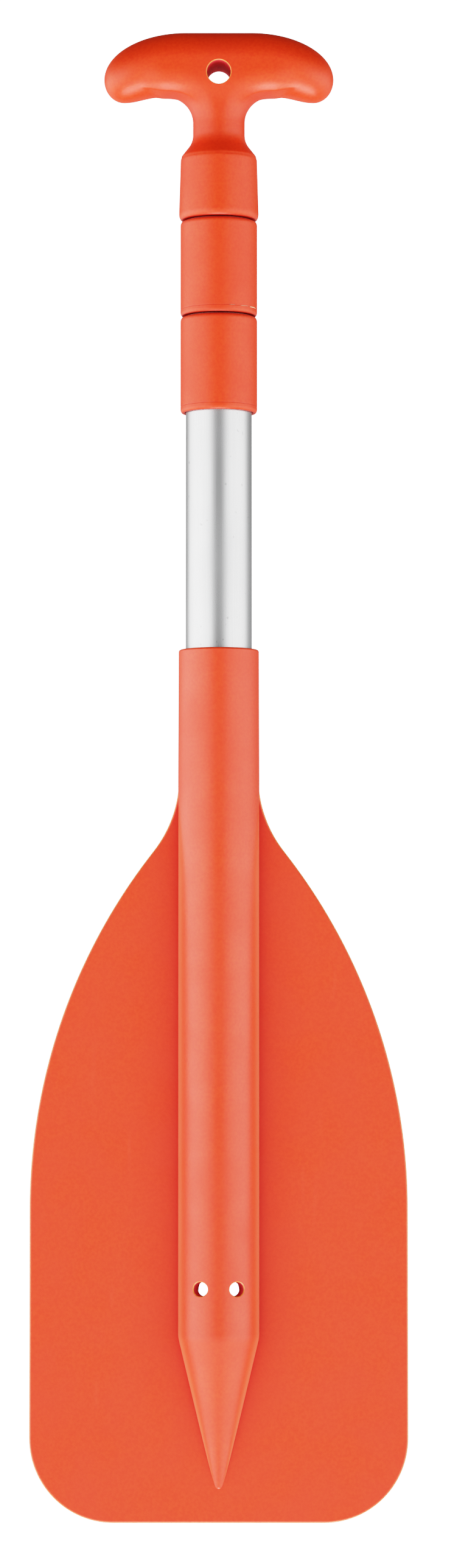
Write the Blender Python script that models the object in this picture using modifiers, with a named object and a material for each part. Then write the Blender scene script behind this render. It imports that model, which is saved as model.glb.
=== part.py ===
"""A collapsed three-section telescoping paddle with a T-grip.

Metres, +Z up the shaft from the blade to the grip, front towards -Y, blade across X.
The origin is the middle of the blade's bottom edge.

Each sliding tube ends in a twist lock: an eccentric pin in a split ring. Twisting the tube drives
the eccentric against the ring, which then grips the tube around it.
"""

import math

import bmesh
import bpy
from mathutils import Matrix, Vector

NAME = "telescoping_paddle"
GAP = 0.0003  # left between any two pieces that touch on the real object
OVERSHOOT = 0.002  # how far cutters reach past the faces they open

# Blade plate
BLADE_HALF_WIDTH = 0.06305
PLATE_THICKNESS = 0.0029
PLATE_EDGE = 0.0007  # rounding of the plate's edges
CORNER_RADIUS = 0.028
SIDE_TOP = 0.1043  # the straight side ends here
SIDE_ARC_RADIUS = 0.1925
SHOULDER_ARC_RADIUS = 0.0404
SHOULDER_ARC_TOP = 0.2482
SHOULDER_ARC_INNER = 0.0133
SHOULDER_SLOPE = 36.9  # degrees from the vertical, where the two arcs run into each other

# Socket, drain chamber and pointed end, all part of the blade
BOSS_RADIUS = 0.0136
RIM_RADIUS = 0.01345
RIM_TOP = 0.2909
RIM_EDGE = 0.0007
CONE_TOP = 0.0615
CONE_END = 0.0106
CONE_END_RADIUS = 0.0019
CONE_SLOPE = 13.0  # degrees from the vertical
SEAT = 0.084  # the outer tube stands here
CHAMBER_RADIUS = 0.0102
CHAMBER_FLOOR = 0.0715
DRAIN_ANGLE = 27.0  # degrees either side of the front, and of the back
DRAIN_START = 0.006  # from the axis, inside the chamber
DRAIN_HALF_WIDTH = 0.00265
FRONT_DRAIN = (0.0778, 0.0024)  # height of the middle, half-height of the oval
BACK_DRAIN = (0.07605, 0.00415)

# Tubes: outside radius, inside radius
OUTER_TUBE = (0.0111, 0.0099)
MIDDLE_TUBE = (0.00955, 0.00835)
INNER_TUBE = (0.00795, 0.00675)

# Collars: bottom and top
LOWER_COLLAR = (0.37083, 0.40308)
UPPER_COLLAR = (0.40367, 0.43558)
COLLAR_RADIUS = 0.0129
COLLAR_EDGE = 0.001
COLLAR_LIP = 0.0025
GUIDE_HEIGHT = 0.0023

# Handle: skirt, neck and T-grip
SKIRT_BOTTOM = 0.4361
SKIRT_RADIUS = 0.01340
SKIRT_EDGE = 0.0012
SKIRT_AT_RIVET = 0.0132
SKIRT_TOP = 0.4570
SKIRT_TOP_RADIUS = 0.01285
SKIRT_SHOULDER = 0.0009  # height of the step in from the skirt to the flare
SOCKET_FLOOR = 0.4560
NECK_RADIUS = 0.00872
NECK_BOTTOM, NECK_TOP = 0.4652, 0.4693
NECK_FLARE_RADIUS = 0.0070
NECK_SLOPE = 38.0  # degrees from the vertical, below the flare's curve
GRIP_FILLET_RADIUS = 0.0090
FILLET_SHARE = 0.97  # of the fillet's radius, before the arms take over
STEM_DEPTH = 0.0092  # half-depth of the stem where it runs into the arms
STEM_TOP = 0.4860
GRIP_TOP = 0.500
GRIP_HALF_WIDTH = 0.03875
GRIP_HALF_DEPTH = 0.0102
TIP_TURN = 88.5  # degrees round the arms' ends that the last sections stand at
GRIP_WAIST = 0.484  # height of the arms' tips
GRIP_FLAT = 0.011  # half-width of the flat top
GRIP_UNDERSIDE = 0.47825
UNDERSIDE_END = 0.020
TIP_UNDERSIDE = 0.47635
TIP_START = 0.032
LANYARD_HEIGHT = 0.485
LANYARD_RADIUS = 0.004025

# Twist locks, as heights above the lower face of the lock's screw
HEAD_HEIGHT = 0.0019
WASHER_BOTTOM, WASHER_TOP = 0.0022, 0.0034
RING_BOTTOM, RING_TOP = 0.0037, 0.0150
FLANGE_BOTTOM, FLANGE_TOP = 0.0153, 0.0173
PLUG_PIN_HEIGHT = 0.0235
PLUG_TOP = 0.0296
PLUG_CHAMFER = 0.0007
RING_CHAMFER = 0.0005
RING_SPLIT = 0.0018
WASHER_MARGIN = 0.0011  # between the washer and the tube round it
TWIST_CLEARANCE = 0.00015  # between eccentric and ring at the end of the twist

# The two locks: height, radius of the eccentric pin, and its throw
MIDDLE_LOCK, MIDDLE_PIN_RADIUS, MIDDLE_THROW = 0.0910, 0.0042, 0.0012
INNER_LOCK, INNER_PIN_RADIUS, INNER_THROW = 0.1225, 0.0034, 0.0010

# Fasteners
RIVET_HEAD, RIVET_SHANK = 0.0032, 0.0018
RIVET_SEAT = 0.001  # depth of the shallow seat that hides the rivet's head
RIVET_CROWN, RIVET_DOME_RADIUS = 0.0007, 0.0084
RIVET_BULB_RADIUS, RIVET_BULB_LENGTH = 0.0011, 0.0024
BLADE_RIVET_HEIGHT = 0.0882
HANDLE_RIVET_HEIGHT = 0.4465
PLUG_PIN_RADIUS = 0.0014
PLUG_PIN_START = 0.0038  # from the axis, inside the plug
PLUG_PIN_SETBACK = 0.00015  # below the tube's outside
SCREW_RADIUS = 0.0015
SCREW_CHAMFER = 0.0005
HEAD_RADIUS = 0.0030
HEAD_ROUNDING = 0.0009
RECESS_HALF_LENGTH, RECESS_HALF_WIDTH, RECESS_DEPTH = 0.0018, 0.0004, 0.0010
TIP_ROOM = 0.001  # left above the screw's tip in its hole

STEPS = 40
FINE_STEPS = 20
AXIS = Vector((0, 0, 1))

ORANGE = (0.80, 0.105, 0.030)
ALUMINIUM = (0.72, 0.73, 0.74)
NYLON = (0.62, 0.61, 0.57)
BLACK = (0.03, 0.03, 0.032)
STEEL = (0.55, 0.55, 0.56)


def clear_scene():
    for old in list(bpy.data.objects):
        bpy.data.objects.remove(old)


def new_collection(name, hidden=False):
    made = bpy.data.collections.new(name)
    bpy.context.scene.collection.children.link(made)
    made.hide_render = hidden
    return made


clear_scene()
PARTS = new_collection(NAME)
CUTTERS = new_collection(NAME + "_cutters", hidden=True)


# Materials, one for each sub-part


def surface(name, colour, roughness, metallic=0.0):
    material = bpy.data.materials.new(name)
    material.use_nodes = True
    shader = material.node_tree.nodes["Principled BSDF"]
    shader.inputs["Base Color"].default_value = (*colour, 1.0)
    shader.inputs["Roughness"].default_value = roughness
    shader.inputs["Metallic"].default_value = metallic
    return material


def orange_plastic(name):
    return surface(name, ORANGE, 0.42)


def aluminium(name):
    return surface(name, ALUMINIUM, 0.34, 1.0)


def steel(name):
    return surface(name, STEEL, 0.30, 1.0)


def nylon(name):
    return surface(name, NYLON, 0.55)


def black_plastic(name):
    return surface(name, BLACK, 0.50)


# Shapes


def put(name, mesh, finish=None):
    """An object among the parts, or among the cutters when it has no finish."""
    obj = bpy.data.objects.new(name, mesh)
    if finish:
        mesh.materials.append(finish(name))
        mesh.shade_smooth()
        mesh.set_sharp_from_angle(angle=math.radians(35))
        PARTS.objects.link(obj)
    else:
        obj.hide_render = True
        obj.display_type = "WIRE"
        CUTTERS.objects.link(obj)
    return obj


def built(name, shape, finish=None):
    """An object from a bmesh, which is freed."""
    mesh = bpy.data.meshes.new(name)
    shape.to_mesh(mesh)
    shape.free()
    return put(name, mesh, finish)


def turned(name, profile, finish=None, steps=STEPS, closed=False):
    """A body turned about Z. The profile is (radius, height) points, down its outer side."""
    shape = bmesh.new()
    points = [shape.verts.new((radius, 0.0, height)) for radius, height in profile]
    following = points[1:] + points[:1] if closed else points[1:]
    for start, end in zip(points, following):
        shape.edges.new((start, end))
    obj = built(name, shape, finish)
    screw = obj.modifiers.new("turn", "SCREW")
    screw.steps = screw.render_steps = steps
    screw.use_merge_vertices = True
    screw.merge_threshold = 0.00001
    screw.use_smooth_shade = bool(finish)
    return obj


def tube(name, radii, bottom, top, finish=None, steps=STEPS):
    outside, inside = radii
    profile = [(outside, top), (outside, bottom), (inside, bottom), (inside, top)]
    return turned(name, profile, finish, steps, closed=True)


def rod(name, radius, start, end, finish=None, steps=FINE_STEPS):
    """A cylinder between two points."""
    start, end = Vector(start), Vector(end)
    shape = bmesh.new()
    bmesh.ops.create_cone(shape, cap_ends=True, segments=steps, radius1=radius, radius2=radius,
                          depth=(end - start).length)
    turn = (end - start).to_track_quat("Z", "Y").to_matrix().to_4x4()
    place = Matrix.Translation((start + end) / 2) @ turn
    bmesh.ops.transform(shape, matrix=place, verts=shape.verts)
    return built(name, shape, finish)


def block(name, low, high):
    """A box between two corners."""
    low, high = Vector(low), Vector(high)
    shape = bmesh.new()
    bmesh.ops.create_cube(shape, size=1.0)
    place = Matrix.Translation((low + high) / 2) @ Matrix.Diagonal((*(high - low), 1.0))
    bmesh.ops.transform(shape, matrix=place, verts=shape.verts)
    return built(name, shape)


def loft(name, rings, finish=None):
    """A closed body through rings of points, with a flat cap at each end."""
    shape = bmesh.new()
    loops = [[shape.verts.new(point) for point in ring] for ring in rings]
    for lower, upper in zip(loops, loops[1:]):
        for i in range(len(lower)):
            j = (i + 1) % len(lower)
            shape.faces.new((lower[i], lower[j], upper[j], upper[i]))
    shape.faces.new(loops[0])
    shape.faces.new(loops[-1])
    bmesh.ops.recalc_face_normals(shape, faces=shape.faces)
    return built(name, shape, finish)


def arc(centre, radius, start, end, steps, stretch=1.0):
    """Points on a circle, or an ellipse stretched along its second axis, between two angles in degrees."""
    angles = (math.radians(start + (end - start) * i / steps) for i in range(steps + 1))
    return [(centre[0] + radius * math.cos(a), centre[1] + stretch * radius * math.sin(a)) for a in angles]


def plate_in_xz(name, outline, thickness, edge, finish):
    """A plate with rounded edges from an outline of (x, z) points."""
    curve = bpy.data.curves.new(name, "CURVE")
    curve.dimensions = "2D"
    curve.fill_mode = "BOTH"
    curve.extrude = thickness / 2 - edge
    curve.bevel_depth = edge
    curve.bevel_resolution = 1
    curve.offset = -edge
    spline = curve.splines.new("POLY")
    spline.points.add(len(outline) - 1)
    for point, (x, z) in zip(spline.points, outline):
        point.co = (x, z, 0.0, 1.0)
    spline.use_cyclic_u = True
    guide = bpy.data.objects.new(name + "_outline", curve)
    guide.matrix_world = Matrix.Rotation(math.radians(90), 4, "X")
    CUTTERS.objects.link(guide)
    bpy.context.view_layer.update()
    graph = bpy.context.evaluated_depsgraph_get()
    mesh = bpy.data.meshes.new_from_object(guide.evaluated_get(graph))
    shape = bmesh.new()
    shape.from_mesh(mesh)
    bmesh.ops.transform(shape, matrix=guide.matrix_world, verts=shape.verts)
    bmesh.ops.remove_doubles(shape, verts=shape.verts, dist=0.000005)
    bmesh.ops.recalc_face_normals(shape, faces=shape.faces)
    bpy.data.meshes.remove(mesh)
    bpy.data.objects.remove(guide)
    return built(name, shape, finish)


def combine(obj, operation, others):
    """One Boolean for all the others together, which stand in a collection of their own."""
    group = bpy.data.collections.new(f"{obj.name}_{operation.lower()}")
    CUTTERS.children.link(group)
    for other in others:
        CUTTERS.objects.unlink(other)
        group.objects.link(other)
    step = obj.modifiers.new(operation.lower(), "BOOLEAN")
    step.operation = operation
    step.operand_type = "COLLECTION"
    step.collection = group
    step.solver = "EXACT"


def cut(obj, *cutters):
    combine(obj, "DIFFERENCE", cutters)


def join(obj, *others):
    combine(obj, "UNION", others)


# Blade


def blade_outline():
    """The right side from the socket down to the bottom edge, then its mirror image back up."""
    shoulder = arc((SHOULDER_ARC_INNER + SHOULDER_ARC_RADIUS, SHOULDER_ARC_TOP), SHOULDER_ARC_RADIUS,
                   180, 180 + SHOULDER_SLOPE, 6)
    side = arc((BLADE_HALF_WIDTH - SIDE_ARC_RADIUS, SIDE_TOP), SIDE_ARC_RADIUS, SHOULDER_SLOPE, 0, 12)
    corner = arc((BLADE_HALF_WIDTH - CORNER_RADIUS, CORNER_RADIUS), CORNER_RADIUS, 0, -90, 10)
    right = shoulder + side + corner
    return right + [(-x, z) for x, z in reversed(right)]


def boss_profile():
    rim = arc((RIM_RADIUS - RIM_EDGE, RIM_TOP - RIM_EDGE), RIM_EDGE, 90, 0, 3)
    point = arc((0, CONE_END + CONE_END_RADIUS), CONE_END_RADIUS, -CONE_SLOPE, -90, 5)
    return [(0, RIM_TOP)] + rim + [(BOSS_RADIUS, SHOULDER_ARC_TOP), (BOSS_RADIUS, CONE_TOP)] + point


def hollow_profile():
    """The socket for the outer tube and, under its seat, the chamber that drains."""
    bore = OUTER_TUBE[0] + GAP
    above = RIM_TOP + OVERSHOOT
    return [(0, above), (bore, above), (bore, SEAT), (CHAMBER_RADIUS, SEAT),
            (CHAMBER_RADIUS, CHAMBER_FLOOR), (0, CHAMBER_FLOOR)]


def drain(name, angle, height, half_height):
    """An oval cutter from the chamber out through the wall, at an angle from the front."""
    outward = Matrix.Rotation(math.radians(angle), 3, "Z") @ Vector((0, -1, 0))
    across = outward.cross(AXIS)
    oval = arc((0, height), DRAIN_HALF_WIDTH, 0, 360, FINE_STEPS, half_height / DRAIN_HALF_WIDTH)[:-1]
    return loft(name, [[reach * outward + x * across + z * AXIS for x, z in oval]
                       for reach in (DRAIN_START, BOSS_RADIUS + OVERSHOOT)])


def cross_hole(name, radius, height, start, outside):
    """A cutter towards the back for a pin or rivet, from a place inside to beyond the outer face."""
    return rod(name, radius + GAP, (0, start, height), (0, outside + OVERSHOOT, height))


def rivet_holes(name, height, outside):
    """The hole for a rivet at the back and the shallow seat of its head."""
    return (cross_hole(name + "_rivet_seat", RIVET_HEAD, height, outside - RIVET_SEAT, outside),
            cross_hole(name + "_rivet_hole", RIVET_SHANK, height, outside / 2, outside))


def make_blade():
    blade = plate_in_xz("blade", blade_outline(), PLATE_THICKNESS, PLATE_EDGE, orange_plastic)
    join(blade, turned("blade_boss", boss_profile()))
    cutters = [turned("blade_hollow", hollow_profile())]
    for side, angle in (("left", -DRAIN_ANGLE), ("right", DRAIN_ANGLE)):
        cutters.append(drain(f"drain_front_{side}", angle, *FRONT_DRAIN))
        cutters.append(drain(f"drain_back_{side}", 180 - angle, *BACK_DRAIN))
    cut(blade, *cutters, *rivet_holes("blade", BLADE_RIVET_HEIGHT, BOSS_RADIUS))
    return blade


def make_rivet(name, height, outside, inside):
    """A blind rivet at the back: domed head, shank, and the bulb that its mandrel draws up inside."""
    floor = outside - RIVET_SEAT + GAP
    bulb = inside - GAP
    end = bulb - RIVET_BULB_LENGTH
    dome = arc((0, floor + RIVET_CROWN - RIVET_DOME_RADIUS), RIVET_DOME_RADIUS, 90, 68, 2)
    body = [(RIVET_HEAD, floor), (RIVET_SHANK, floor), (RIVET_SHANK, bulb)]
    swelling = arc((RIVET_SHANK - GAP, (bulb + end) / 2), RIVET_BULB_RADIUS, 60, -60, 3)
    rivet = turned(name, dome + body + swelling + [(0, end)], aluminium, FINE_STEPS)
    rivet.rotation_euler.x = math.radians(-90)
    rivet.location.z = height
    return rivet


# Tubes, collars and guide rings


def tube_top(collar):
    """A tube ends under its collar's guide ring, which is under the collar's lip."""
    return collar[1] - COLLAR_LIP - GUIDE_HEIGHT - 2 * GAP


def make_tube(name, radii, bottom, top, pins):
    """A drawn tube with a hole at the back for each of the pins, given as (radius, height)."""
    made = tube(name, radii, bottom, top, aluminium)
    cut(made, *(cross_hole(f"{name}_hole_{number}", radius, height, radii[1] / 2, radii[0])
                for number, (radius, height) in enumerate(pins)))
    return made


def make_collar(name, span, own_tube, next_tube):
    """A cap over a tube's end, with a lip that the next tube slides through."""
    bottom, top = span
    bore, lip = own_tube[0] + GAP, next_tube[0] + GAP
    edge = COLLAR_RADIUS - COLLAR_EDGE
    outside = arc((edge, top - COLLAR_EDGE), COLLAR_EDGE, 90, 0, 2)
    outside += arc((edge, bottom + 1.8 * COLLAR_EDGE), COLLAR_EDGE, 0, -90, 3, stretch=1.8)
    inside = [(bore, bottom), (bore, top - COLLAR_LIP), (lip, top - COLLAR_LIP), (lip, top)]
    return turned(name, outside + inside, orange_plastic, closed=True)


def make_guide_ring(name, span, own_tube, next_tube):
    top = span[1] - COLLAR_LIP - GAP
    return tube(name, (own_tube[0], next_tube[0] + GAP), top - GUIDE_HEIGHT, top, nylon, 32)


# Twist locks


def make_cam_plug(name, base, own_tube, pin_radius, throw):
    outside, inside = own_tube
    stem = inside - GAP
    plug = turned(name, [
        (0, base + PLUG_TOP), (stem - PLUG_CHAMFER, base + PLUG_TOP),
        (stem, base + PLUG_TOP - PLUG_CHAMFER), (stem, base + FLANGE_TOP), (outside, base + FLANGE_TOP),
        (outside, base + FLANGE_BOTTOM), (0, base + FLANGE_BOTTOM)], black_plastic, 32)
    join(plug, rod(name + "_eccentric", pin_radius, (throw, 0, base + RING_BOTTOM),
                   (throw, 0, base + (FLANGE_BOTTOM + FLANGE_TOP) / 2), steps=28))
    cut(plug,
        rod(name + "_screw_hole", SCREW_RADIUS + GAP, (throw, 0, base), (throw, 0, base + FLANGE_BOTTOM)),
        cross_hole(name + "_pin_hole", PLUG_PIN_RADIUS, base + PLUG_PIN_HEIGHT,
                   PLUG_PIN_START - GAP, outside))
    return plug


def make_cam_ring(name, base, bore, pin_radius, throw):
    """A split ring whose pocket leaves the eccentric just the room for its twist."""
    outside, edge = bore - GAP, RING_CHAMFER
    bottom, top = base + RING_BOTTOM, base + RING_TOP
    ring = turned(name, [(0, top), (outside - edge, top), (outside, top - edge), (outside, bottom + edge),
                         (outside - edge, bottom), (0, bottom)], nylon, 32)
    pocket = pin_radius + throw + TWIST_CLEARANCE
    below, above = bottom - OVERSHOOT, top + OVERSHOOT
    cut(ring, rod(name + "_pocket", pocket, (throw, 0, below), (throw, 0, above), steps=28),
        block(name + "_split", (throw, -RING_SPLIT / 2, below), (bore + OVERSHOOT, RING_SPLIT / 2, above)))
    return ring


def make_cam_washer(name, base, bore, throw):
    radii = (bore - throw - WASHER_MARGIN, SCREW_RADIUS + GAP)
    washer = tube(name, radii, base + WASHER_BOTTOM, base + WASHER_TOP, steel, 24)
    washer.location.x = throw
    return washer


def make_cam_screw(name, base, throw):
    """A pan head screw with a cross recess, pointing up into the plug."""
    tip = base + FLANGE_BOTTOM - TIP_ROOM
    screw = turned(name, [
        (0, tip), (SCREW_RADIUS - SCREW_CHAMFER, tip), (SCREW_RADIUS, tip - SCREW_CHAMFER),
        (SCREW_RADIUS, base + HEAD_HEIGHT), (HEAD_RADIUS, base + HEAD_HEIGHT),
        (HEAD_RADIUS, base + HEAD_ROUNDING), (HEAD_RADIUS - HEAD_ROUNDING, base), (0, base)], steel, 20)
    screw.location.x = throw
    sizes = (RECESS_HALF_LENGTH, RECESS_HALF_WIDTH)
    for slot, across, along in (("x", *sizes), ("y", *reversed(sizes))):
        cut(screw, block(f"{name}_recess_{slot}", (throw - across, -along, base - OVERSHOOT),
                         (throw + across, along, base + RECESS_DEPTH)))
    return screw


def make_plug_pin(name, base, own_tube):
    height = base + PLUG_PIN_HEIGHT
    return rod(name, PLUG_PIN_RADIUS, (0, PLUG_PIN_START, height),
               (0, own_tube[0] - PLUG_PIN_SETBACK, height), steel, 20)


# Handle


def grip_top(x):
    across = max(abs(x) - GRIP_FLAT, 0) / (GRIP_HALF_WIDTH - GRIP_FLAT)
    return GRIP_WAIST + (GRIP_TOP - GRIP_WAIST) * math.sqrt(1 - across ** 2)


def grip_bottom(x):
    """Level beside the stem, then a little lower, then round the tip of the arm."""
    beyond = (abs(x) - TIP_START) / (GRIP_HALF_WIDTH - TIP_START)
    if beyond > 0:
        return GRIP_WAIST - (GRIP_WAIST - TIP_UNDERSIDE) * math.sqrt(1 - beyond ** 2)
    share = min(max((abs(x) - UNDERSIDE_END) / (TIP_START - UNDERSIDE_END), 0), 1)
    return GRIP_UNDERSIDE + (TIP_UNDERSIDE - GRIP_UNDERSIDE) * (1 - math.cos(math.pi * share)) / 2


def arm_ring(x, points=24):
    low, high = grip_bottom(x), grip_top(x)
    depth = GRIP_HALF_DEPTH * math.sqrt(1 - (abs(x) / GRIP_HALF_WIDTH) ** 6)
    return [(x, y, z) for y, z in arc((0, (low + high) / 2), depth, 0, 360, points,
                                      stretch=(high - low) / 2 / depth)[:-1]]


def stem_width(z):
    """Half-width of the stem: the neck, its fillet up into the arms and its flare down to the skirt."""
    if z > NECK_TOP:
        return NECK_RADIUS + GRIP_FILLET_RADIUS - math.sqrt(GRIP_FILLET_RADIUS ** 2 - (z - NECK_TOP) ** 2)
    drop = max(NECK_BOTTOM - z, 0)
    slope = math.radians(NECK_SLOPE)
    arc_drop = NECK_FLARE_RADIUS * math.sin(slope)
    if drop < arc_drop:
        return NECK_RADIUS + NECK_FLARE_RADIUS - math.sqrt(NECK_FLARE_RADIUS ** 2 - drop ** 2)
    return NECK_RADIUS + NECK_FLARE_RADIUS * (1 - math.cos(slope)) + (drop - arc_drop) * math.tan(slope)


def stem_ring(z, width, depth, points=32):
    return [(x, y, z) for x, y in arc((0, 0), width, 0, 360, points, stretch=depth / width)[:-1]]


def stem_rings():
    edge = arc((SKIRT_RADIUS - SKIRT_EDGE, SKIRT_BOTTOM + SKIRT_EDGE), SKIRT_EDGE, -90, 0, 3)
    rings = [stem_ring(z, radius, radius) for radius, z in edge]
    rings.append(stem_ring(SKIRT_TOP, SKIRT_TOP_RADIUS, SKIRT_TOP_RADIUS))
    flare = SKIRT_TOP + SKIRT_SHOULDER
    for i in range(6):
        z = flare + (NECK_BOTTOM - flare) * i / 5
        rings.append(stem_ring(z, stem_width(z), stem_width(z)))
    fillet_top = NECK_TOP + FILLET_SHARE * GRIP_FILLET_RADIUS
    for i in range(7):
        z = NECK_TOP + (fillet_top - NECK_TOP) * math.sin(math.radians(90) * i / 6)
        depth = NECK_RADIUS + (STEM_DEPTH - NECK_RADIUS) * i / 6
        rings.append(stem_ring(z, stem_width(z), depth))
    rings.append(stem_ring(STEM_TOP, stem_width(fillet_top), STEM_DEPTH))
    return rings


def make_handle():
    turns = [math.radians(TIP_TURN * (i / 12 - 1)) for i in range(25)]
    handle = loft("handle", [arm_ring(GRIP_HALF_WIDTH * math.sin(turn)) for turn in turns], orange_plastic)
    join(handle, loft("handle_stem", stem_rings()))
    cut(handle,
        rod("lanyard_hole", LANYARD_RADIUS, (0, -GRIP_HALF_DEPTH - OVERSHOOT, LANYARD_HEIGHT),
            (0, GRIP_HALF_DEPTH + OVERSHOOT, LANYARD_HEIGHT)),
        rod("handle_socket", INNER_TUBE[0] + GAP, (0, 0, SKIRT_BOTTOM - OVERSHOOT), (0, 0, SOCKET_FLOOR),
            steps=STEPS),
        *rivet_holes("handle", HANDLE_RIVET_HEIGHT, SKIRT_AT_RIVET))
    return handle


# Assembly


def make_lock(prefix, base, bore, own_tube, pin_radius, throw):
    """The ring rides in the lock's own section; the rest turns with the sliding tube."""
    ring = make_cam_ring(prefix + "_cam_ring", base, bore, pin_radius, throw)
    rest = [make_cam_plug(prefix + "_cam_plug", base, own_tube, pin_radius, throw),
            make_cam_washer(prefix + "_cam_washer", base, bore, throw),
            make_cam_screw(prefix + "_cam_screw", base, throw),
            make_plug_pin(prefix + "_plug_pin", base, own_tube)]
    return ring, rest


def make_section(name, height, parent, pieces):
    """An empty on the shaft's axis that carries its pieces, and slides or turns in its parent."""
    empty = bpy.data.objects.new(name, None)
    empty.empty_display_size = 0.02
    PARTS.objects.link(empty)
    empty.location = height * AXIS
    empty.parent = parent
    if parent:
        empty.location -= parent["height"] * AXIS
    empty["height"] = height
    for piece in pieces:
        piece.parent = empty
        piece.location -= height * AXIS
    return empty


def build():
    outer_tube = make_tube("outer_tube", OUTER_TUBE, SEAT + GAP, tube_top(LOWER_COLLAR),
                           [(RIVET_SHANK, BLADE_RIVET_HEIGHT)])
    blade_section = make_section("blade_section", 0.0, None, [
        make_blade(),
        make_rivet("blade_rivet", BLADE_RIVET_HEIGHT, BOSS_RADIUS, OUTER_TUBE[1]),
        outer_tube,
        make_collar("lower_collar", LOWER_COLLAR, OUTER_TUBE, MIDDLE_TUBE),
        make_guide_ring("lower_guide_ring", LOWER_COLLAR, OUTER_TUBE, MIDDLE_TUBE)])

    middle_ring, middle_lock = make_lock("middle", MIDDLE_LOCK, OUTER_TUBE[1], MIDDLE_TUBE,
                                         MIDDLE_PIN_RADIUS, MIDDLE_THROW)
    middle_tube = make_tube("middle_tube", MIDDLE_TUBE, MIDDLE_LOCK + FLANGE_TOP + GAP,
                            tube_top(UPPER_COLLAR), [(PLUG_PIN_RADIUS, MIDDLE_LOCK + PLUG_PIN_HEIGHT)])
    middle_ring_section = make_section("middle_lock_ring", MIDDLE_LOCK, blade_section, [middle_ring])
    middle_section = make_section("middle_section", MIDDLE_LOCK, middle_ring_section, [
        middle_tube,
        make_collar("upper_collar", UPPER_COLLAR, MIDDLE_TUBE, INNER_TUBE),
        make_guide_ring("upper_guide_ring", UPPER_COLLAR, MIDDLE_TUBE, INNER_TUBE),
        *middle_lock])

    inner_ring, inner_lock = make_lock("inner", INNER_LOCK, MIDDLE_TUBE[1], INNER_TUBE,
                                       INNER_PIN_RADIUS, INNER_THROW)
    inner_tube = make_tube("inner_tube", INNER_TUBE, INNER_LOCK + FLANGE_TOP + GAP, SOCKET_FLOOR - GAP,
                           [(PLUG_PIN_RADIUS, INNER_LOCK + PLUG_PIN_HEIGHT),
                            (RIVET_SHANK, HANDLE_RIVET_HEIGHT)])
    inner_ring_section = make_section("inner_lock_ring", INNER_LOCK, middle_section, [inner_ring])
    make_section("handle_section", INNER_LOCK, inner_ring_section, [
        inner_tube,
        make_handle(),
        make_rivet("handle_rivet", HANDLE_RIVET_HEIGHT, SKIRT_AT_RIVET, INNER_TUBE[1]),
        *inner_lock])


build()
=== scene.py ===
"""The looks of the telescoping paddle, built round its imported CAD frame. Metres, +Z up the shaft."""

import math

import bmesh
import bpy
import numpy as np
from mathutils import Matrix, Vector
from mathutils.bvhtree import BVHTree


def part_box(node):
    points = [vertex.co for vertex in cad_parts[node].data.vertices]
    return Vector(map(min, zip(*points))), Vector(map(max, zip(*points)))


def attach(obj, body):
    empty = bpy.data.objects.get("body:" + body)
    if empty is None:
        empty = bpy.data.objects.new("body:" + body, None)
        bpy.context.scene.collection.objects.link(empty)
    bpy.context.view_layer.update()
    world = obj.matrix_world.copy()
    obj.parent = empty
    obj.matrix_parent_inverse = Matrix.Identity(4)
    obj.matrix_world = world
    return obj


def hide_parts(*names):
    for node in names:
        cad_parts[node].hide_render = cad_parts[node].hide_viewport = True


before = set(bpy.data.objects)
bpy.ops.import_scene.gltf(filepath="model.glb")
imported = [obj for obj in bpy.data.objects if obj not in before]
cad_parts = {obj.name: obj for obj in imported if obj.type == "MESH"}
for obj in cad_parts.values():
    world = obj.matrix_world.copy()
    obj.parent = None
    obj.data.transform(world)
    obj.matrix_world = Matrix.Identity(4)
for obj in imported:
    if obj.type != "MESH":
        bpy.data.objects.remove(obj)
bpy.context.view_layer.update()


def middle(node):
    """Height of the middle of a node."""
    return sum(corner.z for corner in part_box(node)) / 2


def half_width(node):
    """Half the width of a node that is centred on the shaft: the radius, if it is round about it."""
    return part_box(node)[1].x


# Places and sizes that the frame gives
BLADE_LOW, BLADE_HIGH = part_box("blade")
HANDLE_LOW, HANDLE_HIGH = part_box("handle")
BOSS_RADIUS = BLADE_HIGH.y
BLADE_HALF_WIDTH = BLADE_HIGH.x
RIM_TOP = BLADE_HIGH.z
GRIP_TOP = HANDLE_HIGH.z
GRIP_HALF_WIDTH = HANDLE_HIGH.x
SKIRT_BOTTOM = HANDLE_LOW.z
SKIRT_RADIUS = HANDLE_HIGH.y
BLADE_RIVET_HEIGHT = middle("blade_rivet")
HANDLE_RIVET_HEIGHT = middle("handle_rivet")
TUBE_WALL = 0.0012
SLIDE_GAP = 0.0003  # between a tube and what it slides or stands in
CUT_BEYOND = 0.002  # how far most cutters go on past the face that they open in

# Blade
PLATE_THICKNESS = 0.0029
PLATE_EDGE = 0.0007
HIGHLIGHT_BAND = (0.3, 0.75)  # painted highlight: the rounded edge is pale where its normal has this much of Y
CORNER_RADIUS = 0.028
SIDE_TOP = 0.1043  # the straight side ends here
SIDE_ARC_RADIUS = 0.1925
SHOULDER_ARC_RADIUS = 0.0404
SHOULDER_ARC_TOP = 0.2482
SHOULDER_SLOPE = 36.9  # degrees from the vertical, where the two arcs run into each other
SHOULDER_INNER = 0.0133
RIM_RADIUS = 0.01345
RIM_EDGE = 0.0007
CONE_TOP = 0.0615
CONE_BLEND = 0.0013  # either side of the corner where the cone starts
CONE_BLEND_STEPS = 8
CONE_END = 0.0106
CONE_END_RADIUS = 0.0019
CONE_SLOPE = 13.0
SOCKET_WALL = 0.0022
MOUTH_CHAMFER = 0.0004
SEAT = 0.084
CHAMBER_RADIUS = 0.0102
CHAMBER_FLOOR = 0.0715
DRAIN_ANGLE = 27.0  # degrees either side of the front, and of the back
DRAIN_HALF_WIDTH = 0.00265
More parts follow.
